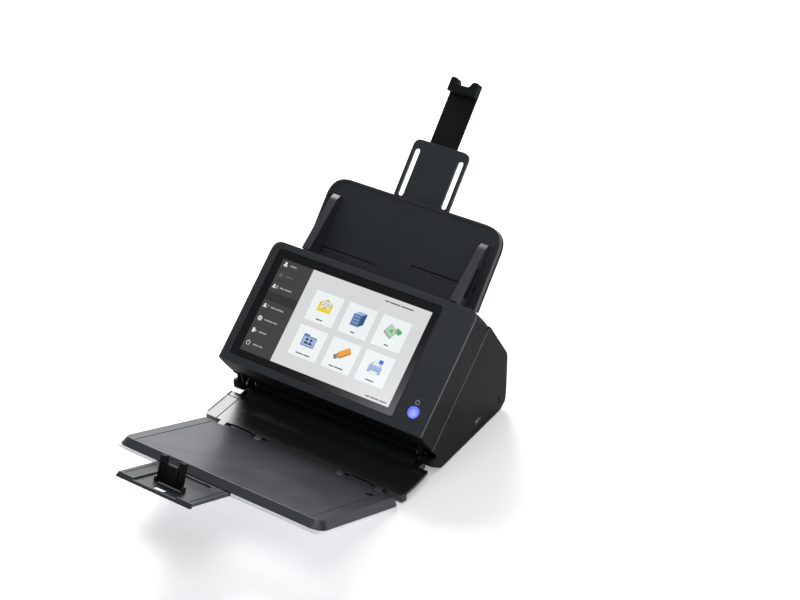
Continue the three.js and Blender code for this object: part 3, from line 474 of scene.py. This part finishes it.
def draw_sidebar(picture):
    left, right = -SCREEN["half_width"], SCREEN["page_left"]
    picture.add("bar_gap", rectangle(left, right, -SCREEN["half_height"], SCREEN["half_height"]), 1)
    rows = ((62.6, 49.8), (49.2, 34.3), (33.7, 18.3), (6.7, -8.7), (-9.3, -25.7), (-26.3, -42.7),
            (-43.3, -62.6))
    for top, bottom in rows:
        picture.add("bar", rectangle(left, right, bottom, top), 2)
    icon_rows = (56.7, 42.1, 26.1, -0.6, -17.7, -34.3, -51.4)
    dashes = ((9.5,), (11.5,), (6, 11), (7.5, 11.5), (12.5, 6), (12,), (9, 5))
    for index, (v, lengths) in enumerate(zip(icon_rows, dashes)):
        colour = "faint" if index == 1 else "side_label"
        words(picture, colour, -97.5, v, 1.6, lengths, 3)
    u = -104.5
    person = [disc(0, 1.6, 1.7), arc(0, -2.6, 2.9, 0, 180, 10)]
    for shape in person:
        picture.add("white", moved(shape, u, 56.7), 3)
        picture.add("white", moved(shape, u - 1.8, 26.1, 0, 0.85), 3)
        picture.add("white", moved(shape, u - 1.6, -0.6, 0, 0.85), 3)
    picture.add("faint", rectangle(u - 2.2, u + 2.2, 39.6, 42.2), 3)
    picture.add("faint", [(u - 3.4, 42.2), (u + 3.4, 42.2), (u, 45.4)], 3)
    picture.add("grey", rectangle(u + 1.2, u + 4.0, 24.0, 28.4, 0.5), 3)
    picture.add("grey", ribbon([(u + 0.8, -3.2), (u + 3.8, 1.6)], 1.2), 3)
    for degrees in range(0, 360, 45):
        picture.add("white", moved(rectangle(-0.6, 0.6, 1.8, 3.4), u, -17.7, degrees), 3)
    picture.add("white", disc(u, -17.7, 2.4), 3)
    picture.add("bar", disc(u, -17.7, 1.1), 4)
    picture.add("white", rectangle(u - 2.6, u + 0.6, -37.2, -31.4, 0.4), 3)
    picture.add("white", [(u + 1.2, -35.8), (u + 3.6, -34.3), (u + 1.2, -32.8)], 3)
    power_symbol(picture, "white", u, -51.4, 2.6, 0.8, 3)


def power_symbol(picture, colour, u, v, radius, width, layer):
    """The plain ring-and-bar sign for on and off."""
    picture.add(colour, ribbon(arc(u, v, radius, 118, 422, 24), width * 0.8), layer)
    picture.add(colour, rectangle(u - width / 2, u + width / 2, v + radius * 0.45, v + radius * 1.45), layer)


def draw_envelope(picture, u, v):
    picture.add("yellow", rectangle(u - 8.5, u + 8.5, v - 6.5, v + 3.5, 0.8), 3)
    picture.add("amber", [(u - 8.5, v + 3.5), (u + 8.5, v + 3.5), (u, v + 8.5)], 3)
    picture.add("white", rectangle(u - 5.5, u + 5.5, v - 2.5, v + 6.0, 0.4), 4)
    words(picture, "grey", u - 4, v + 3.8, 0.8, (4, 3), 5)
    words(picture, "grey", u - 4, v + 1.8, 0.8, (3, 4), 5)
    picture.add("yellow", [(u - 8.5, v - 6.5), (u + 8.5, v - 6.5), (u, v + 0.8)], 5)
    picture.add("amber", ribbon([(u - 8.3, v + 3.0), (u, v - 1.6), (u + 8.3, v + 3.0)], 0.6), 6)


def draw_cabinet(picture, u, v):
    picture.add("pale_blue", [(u - 7.5, v + 4.5), (u + 2.5, v + 4.5), (u + 8, v + 8), (u - 2, v + 8)], 3)
    picture.add("blue", rectangle(u - 7.5, u + 2.5, v - 8.5, v + 4.5), 3)
    picture.add("deep_blue", [(u + 2.5, v - 8.5), (u + 8, v - 4.5), (u + 8, v + 8), (u + 2.5, v + 4.5)], 3)
    for step in range(3):
        picture.add("pale_blue", rectangle(u - 6, u + 1, v + 1.6 - 3.4 * step, v + 2.4 - 3.4 * step), 4)


def draw_sender(picture, u, v):
    picture.add("grey", moved(rectangle(-7.5, 4.5, -7.2, 4.8, 1.2), u, v, -28), 3)
    picture.add("pale_green", moved(rectangle(-6.9, 3.9, -5.6, 4.6, 1.0), u, v, -28), 4)
    picture.add("green", moved([(-3.5, -1.5), (1.5, -1.5), (-1, 2.2)], u, v, -28), 5)
    picture.add("grey", moved(rectangle(1.5, 8.2, 2.0, 7.4, 0.8), u, v, -28), 4)
    picture.add("green", moved(rectangle(3.8, 9.2, 3.0, 7.8, 1.6), u, v, -28), 5)


def draw_folder(picture, u, v):
    picture.add("blue", rectangle(u - 8.5, u - 1.5, v + 4, v + 7, 0.8), 3)
    picture.add("blue", rectangle(u - 8.5, u + 8.5, v - 6.5, v + 5.5, 0.8), 3)
    picture.add("pale_blue", rectangle(u - 7.6, u + 7.8, v - 5.6, v + 4.4, 0.8), 4)
    for side in (-1, 1):
        picture.add("ink", disc(u + 2.7 * side, v + 1.4, 1.5), 5)
        picture.add("ink", arc(u + 2.7 * side, v - 3.6, 2.5, 0, 180, 8), 5)


def draw_stick(picture, u, v):
    turn = 38
    picture.add("grey", moved(rectangle(-10, -4, -2.7, 2.7), u, v, turn), 3)
    for side in (-1, 1):
        picture.add("ink", moved(rectangle(-8.8, -7.4, 1.2 * side - 0.6, 1.2 * side + 0.6), u, v, turn), 4)
    picture.add("deep_orange", moved(rectangle(-4.6, 10.2, -4.2, 3.6, 1.6), u, v, turn), 4)
    picture.add("orange", moved(rectangle(-4.2, 9.8, -2.4, 3.4, 1.4), u, v, turn), 5)


def draw_printer(picture, u, v):
    picture.add("pale_blue", rectangle(u - 8, u + 8, v - 7.5, v + 1.5, 1.2), 3)
    picture.add("lilac", [(u - 8, v + 0.5), (u + 8, v + 0.5), (u + 5.5, v + 4.5), (u - 5.5, v + 4.5)], 4)
    picture.add("white", rectangle(u - 4, u + 4, v + 1.5, v + 8.2), 5)
    picture.add("bright_blue", rectangle(u + 1.5, u + 6.5, v + 4.2, v + 8.6, 0.6), 6)
    picture.add("blue", rectangle(u - 5.5, u + 5.5, v - 5.2, v - 4.0), 5)
    picture.add("white", rectangle(u - 4.8, u + 4.8, v - 8.6, v - 4.6), 6)


def draw_screen():
    picture = Inlay(PANEL, GLASS_TOP, SCREEN["centre"])
    half_width, half_height = SCREEN["half_width"], SCREEN["half_height"]
    picture.add("page", rectangle(SCREEN["page_left"], half_width, -half_height, half_height), 1)
    draw_sidebar(picture)
    icons = ((draw_envelope, draw_cabinet, draw_sender), (draw_folder, draw_stick, draw_printer))
    labels = (((10,), (6,), (6,)), ((11, 9), (7, 13), (12,)))
    for row, low in enumerate(TILE["rows"]):
        for column, left in enumerate(TILE["columns"]):
            picture.add("tile", rectangle(left, left + TILE["width"], low, low + TILE["height"]), 2)
            middle = left + TILE["width"] / 2
            picture.enlarged = (middle, low + ICON_HEIGHT, ICON_SCALE)
            icons[row][column](picture, middle, low + ICON_HEIGHT)
            picture.enlarged = (0.0, 0.0, 1.0)
            lengths = labels[row][column]
            start = middle - (sum(lengths) + len(lengths) - 1) / 2
            words(picture, "label", start, low + 4.4, 1.5, lengths, 3)
    words(picture, "label", 45.5, 56.7, 1.6, (6.5, 15, 18), 2)
    words(picture, "label", 76.7, -59.0, 1.6, (6, 12, 10), 2)
    materials = {name: lit_screen("lit_" + name, linear(*rgb)) for name, rgb in LIT_COLOURS.items()}
    picture.finish("screen", "cover", "panel_glass", materials)


draw_screen()
printed = Inlay(PANEL, 0.0)
power_symbol(printed, "sign", 128, -44.6, 2.6, 0.75, 1)
white_print = plastic("white_print", linear(176, 180, 184), 0.5)
printed.finish("power", "cover", "bezel_plastic", {"sign": white_print})


# ---------------------------------------------------------------- small solid details
def blocks(name, matrix, spans, body, slot, bevel_mm=0.15):
    """One piece made of separate bevelled boxes, each given by its x, y and z spans."""
    bm = bmesh.new()
    for span in spans:
        middle = Vector([(low + high) / 2 for low, high in span])
        size = Matrix.Diagonal([high - low for low, high in span] + [1.0])
        bmesh.ops.create_cube(bm, size=1.0, matrix=matrix @ Matrix.Translation(middle) @ size)
    bevel(bm, list(bm.edges), bevel_mm, 2)
    mesh = bpy.data.meshes.new(name)
    bm.to_mesh(mesh)
    bm.free()
    smooth(mesh)
    return place(name, mesh, body, slot)


blocks("usb_side_tongue", FLAT, [((136, 149.2), (54.7, 65.3), (16.2, 18.2))], "base", "idler_plastic")
contacts = [((x, x + 0.7), (112, 119.6), (23.4, 24.0)) for x in (43.2, 44.9, 46.6, 48.3, 50.0, 51.7)]
blocks("network_contacts", FLAT, contacts, "base", "port_metal", 0.08)

# ---------------------------------------------------------------- floor and light
FLOOR_HALF = 6.0
FLOOR_DROP = 0.0004                        # metres below the feet


def studio_floor():
    bm = bmesh.new()
    corners = [(-1, -1), (1, -1), (1, 1), (-1, 1)]
    bm.faces.new([bm.verts.new((x * FLOOR_HALF, y * FLOOR_HALF, -FLOOR_DROP)) for x, y in corners])
    mesh = bpy.data.meshes.new("floor")
    bm.to_mesh(mesh)
    surface = Surface("floor_paint", Roughness=0.6, Specular_IOR_Level=0.2, Emission_Strength=0.3)
    surface.set(Emission_Color=(1, 1, 1, 1))
    cloud = surface.noise(2.0, 2.0)
    surface.use(surface.ramp(cloud, (0.90, 0.90, 0.905, 1), (0.92, 0.92, 0.925, 1)), "Base Color")
    mesh.materials.append(surface.material)
    floor = bpy.data.objects.new("floor", mesh)
    bpy.context.scene.collection.objects.link(floor)


def soft_light(name, place_at, aim, size, power):
    data = bpy.data.lights.new(name, "AREA")
    data.shape = "RECTANGLE"
    data.size, data.size_y = size
    data.energy = power
    lamp = bpy.data.objects.new(name, data)
    lamp.location = place_at
    lamp.rotation_euler = (Vector(aim) - Vector(place_at)).to_track_quat("-Z", "Y").to_euler()
    bpy.context.scene.collection.objects.link(lamp)


def studio_sky(base, glows):
    """A soft sky: an even base, and a round glow of (direction, tightness, strength) for each soft lamp."""
    world = bpy.data.worlds.new("studio")
    world.use_nodes = True
    nodes, links = world.node_tree.nodes, world.node_tree.links
    background = nodes["Background"]
    background.inputs["Color"].default_value = (0.94, 0.965, 1.0, 1.0)
    direction = nodes.new("ShaderNodeTexCoord").outputs["Generated"]

    def math_node(operation, first, second):
        node = nodes.new("ShaderNodeMath")
        node.operation = operation
        links.new(first, node.inputs[0])
        if isinstance(second, float):
            node.inputs[1].default_value = second
        else:
            links.new(second, node.inputs[1])
        return node.outputs["Value"]

    total = None
    for toward, tightness, strength in glows:
        dot = nodes.new("ShaderNodeVectorMath")
        dot.operation = "DOT_PRODUCT"
        links.new(direction, dot.inputs[0])
        dot.inputs[1].default_value = Vector(toward).normalized()
        lobe = math_node("POWER", math_node("MAXIMUM", dot.outputs["Value"], 0.0), tightness)
        glow = math_node("MULTIPLY", lobe, strength)
        total = math_node("ADD", glow, total if total else base)
    links.new(total, background.inputs["Strength"])
    bpy.context.scene.world = world


studio_floor()
studio_sky(0.15, [
    ((-0.55, 0.83, 0.02), 2.5, 1.1),        # bright wall behind and to the left
    ((-0.455, -0.475, 0.75), 1800.0, 6.0),     # small lamp mirrored in the glass's lower right corner
    ((-0.40, -0.52, 0.75), 18.0, 0.08),     # its wider halo on the bezel
])
soft_light("back_left", (-1.8, 1.78, 1.9), (0, 0, 0.05), (1.5, 1.5), 100)
soft_light("overhead", (0.3, -0.6, 2.8), (0, 0, 0.1), (2.0, 2.0), 30)
soft_light("right_strip", (2.1, -0.45, 1.2), (0, 0, 0.1), (0.7, 1.8), 10)
